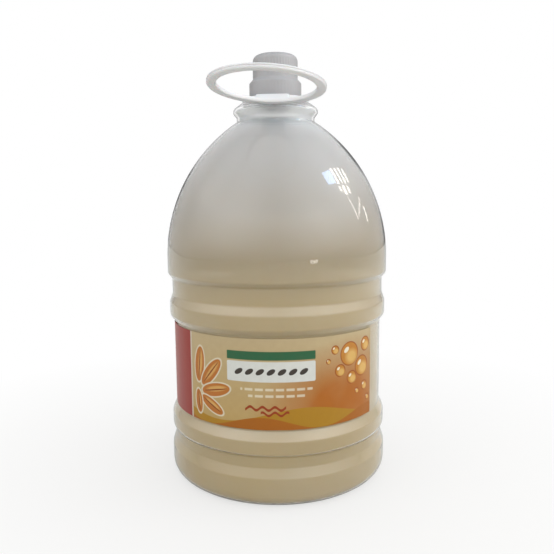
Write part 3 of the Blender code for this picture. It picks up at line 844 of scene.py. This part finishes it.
thread_share = np.linspace(0.0, 1.0, 150)
thread_fade = np.clip(np.minimum(thread_share, 1.0 - thread_share) / 0.06, 0.05, 1.0)
thread_angle = thread_share * THREAD_TURNS * 2.0 * np.pi
thread_z = neck_top - 3.6 * MM - thread_share * THREAD_TURNS * THREAD_LEAD
thread_round = full_turn(10)
thread_r = NECK_R - 0.1 * MM + np.outer(thread_fade, np.cos(thread_round)) * THREAD_OUT
thread_up = thread_z[:, None] + np.outer(thread_fade, np.sin(thread_round)) * 0.7 * MM
thread_grid = np.stack([np.sin(thread_angle)[:, None] * thread_r,
                        axis_y - np.cos(thread_angle)[:, None] * thread_r, thread_up], axis=-1)
surface("neck_thread", capped(thread_grid), clear, "filled_bottle",
        wrap=(False, True), sharp=60.0)


# Screw cap. One white moulding with a skirt, a small step and a narrower ribbed top with a rounded
# edge, hollow below, and the mark of the moulding gate in the middle of its top.
CAP_R = 15.75 * MM
CAP_SKIRT_R = 18.3 * MM
CAP_WALL = 1.5 * MM
CAP_ROOF = 1.6 * MM
CAP_SKIRT_HEIGHT = 10.2 * MM
CAP_STEP = 3.0 * MM
CAP_CORNER = 4.2
CAP_LIFT = 0.4 * MM
LINER = 1.2 * MM
RIBS = 48
RIB_DEPTH = 0.18 * MM

cap_bottom = ledge + COLLAR_GAP + COLLAR_HEIGHT + CAP_LIFT
skirt_top = cap_bottom + CAP_SKIRT_HEIGHT
step_top = skirt_top + CAP_STEP
liner_low = neck_top + COLLAR_GAP
ceiling = liner_low + LINER + COLLAR_GAP
cap_top = ceiling + CAP_ROOF
cap_corners = [
    (0.0, cap_top - 0.35 * MM, 0.0),
    (1.6 * MM, cap_top - 0.35 * MM, 0.1),
    (1.9 * MM, cap_top, 0.1),
    (CAP_R, cap_top, CAP_CORNER),
    (CAP_R, step_top, 0.8),
    (CAP_SKIRT_R, skirt_top, 0.8),
    (CAP_SKIRT_R, cap_bottom, 0.4),
    (CAP_SKIRT_R - CAP_WALL, cap_bottom, 0.3),
    (CAP_SKIRT_R - CAP_WALL, skirt_top - CAP_WALL, 0.3),
    (CAP_R - CAP_WALL, step_top - CAP_WALL, 0.3),
    (CAP_R - CAP_WALL, ceiling, 0.5),
    (0.0, ceiling, 0.0),
]
cap_profile = rounded(cap_corners, steps=6, straight=2)
cap_angles = full_turn(RIBS * 7)
cap_grid = turned(cap_profile, cap_angles)

# On the upright outer walls r falls by the rib depth between the ribs, with soft ends
cap_z = cap_profile[:, 1]
cap_r = cap_profile[:, 0]


def ribbed_between(low, high, low_fade, high_fade):
    """1 for the heights of the cap's profile between two heights, and 0 past them, by the fades."""
    from_low = np.clip((cap_z - low) / low_fade, 0.0, 1.0)
    from_high = np.clip((high - cap_z) / high_fade, 0.0, 1.0)
    return from_low * from_high


upper = ribbed_between(step_top + 0.4 * MM, cap_top - 3.4 * MM, 0.8 * MM, 1.2 * MM)
lower = ribbed_between(cap_bottom + 0.5 * MM, skirt_top - 0.8 * MM, 0.6 * MM, 0.8 * MM)
on_upper = np.abs(cap_r - CAP_R) < 0.5 * MM
on_skirt = np.abs(cap_r - CAP_SKIRT_R) < 0.3 * MM
grip = np.where(on_upper, upper, 0.0) + np.where(on_skirt, lower, 0.0)
valley = 0.5 - 0.5 * np.tanh(2.5 * np.cos(RIBS * cap_angles)) / math.tanh(2.5)
drawn_in = RIB_DEPTH * np.outer(valley, grip)
cap_grid[..., 0] -= np.sin(cap_angles)[:, None] * drawn_in
cap_grid[..., 1] += np.cos(cap_angles)[:, None] * drawn_in

# The cap is white plastic, but its colour here is painted a mid grey, much darker than the ring's white, as
# painted shade. The soft mottle is its own.
cap_white = Finish("cap_white", srgb(198, 196, 194), 0.42, subsurface_weight=0.06, subsurface_scale=0.004)
cap_cloud = cap_white.noise(70.0, 3.0)
cap_white.drive("Base Color", cap_white.mix(cap_cloud, srgb(154, 152, 153), srgb(168, 167, 168)))
cap_white.drive("Roughness", 0.36 + cap_cloud * 0.14)
cap_white.bump(cap_white.noise(1200.0, 2.0), 0.15, 0.0002)
surface("ribbed_cap", cap_grid, cap_white, "cap", ["screw_cap"], sharp=40.0)


# Liner. A disc of white foam pressed into the cap's ceiling, dented by the neck's lip.
LINER_R = 13.75 * MM

liner_corners = [
    (0.0, liner_low + LINER, 0.0),
    (LINER_R, liner_low + LINER, 0.2),
    (LINER_R, liner_low, 0.2),
    (NECK_R, liner_low, 0.2),
    (NECK_R - 0.3 * MM, liner_low + 0.15 * MM, 0.2),
    (NECK_BORE_R + 0.3 * MM, liner_low + 0.15 * MM, 0.2),
    (NECK_BORE_R, liner_low, 0.2),
    (0.0, liner_low, 0.0),
]
foam = Finish("liner_foam", srgb(225, 225, 220), 0.85)
foam.drive("Base Color", foam.mix(foam.noise(900.0, 1.0), srgb(214, 214, 208), srgb(234, 234, 230)))
foam.bump(foam.noise(2500.0, 1.0), 0.4, 0.0002)
surface("foam_liner", turned(rounded(liner_corners, steps=4), full_turn(96)), foam,
        "liner", ["cap_liner"], sharp=40.0)

low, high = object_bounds()
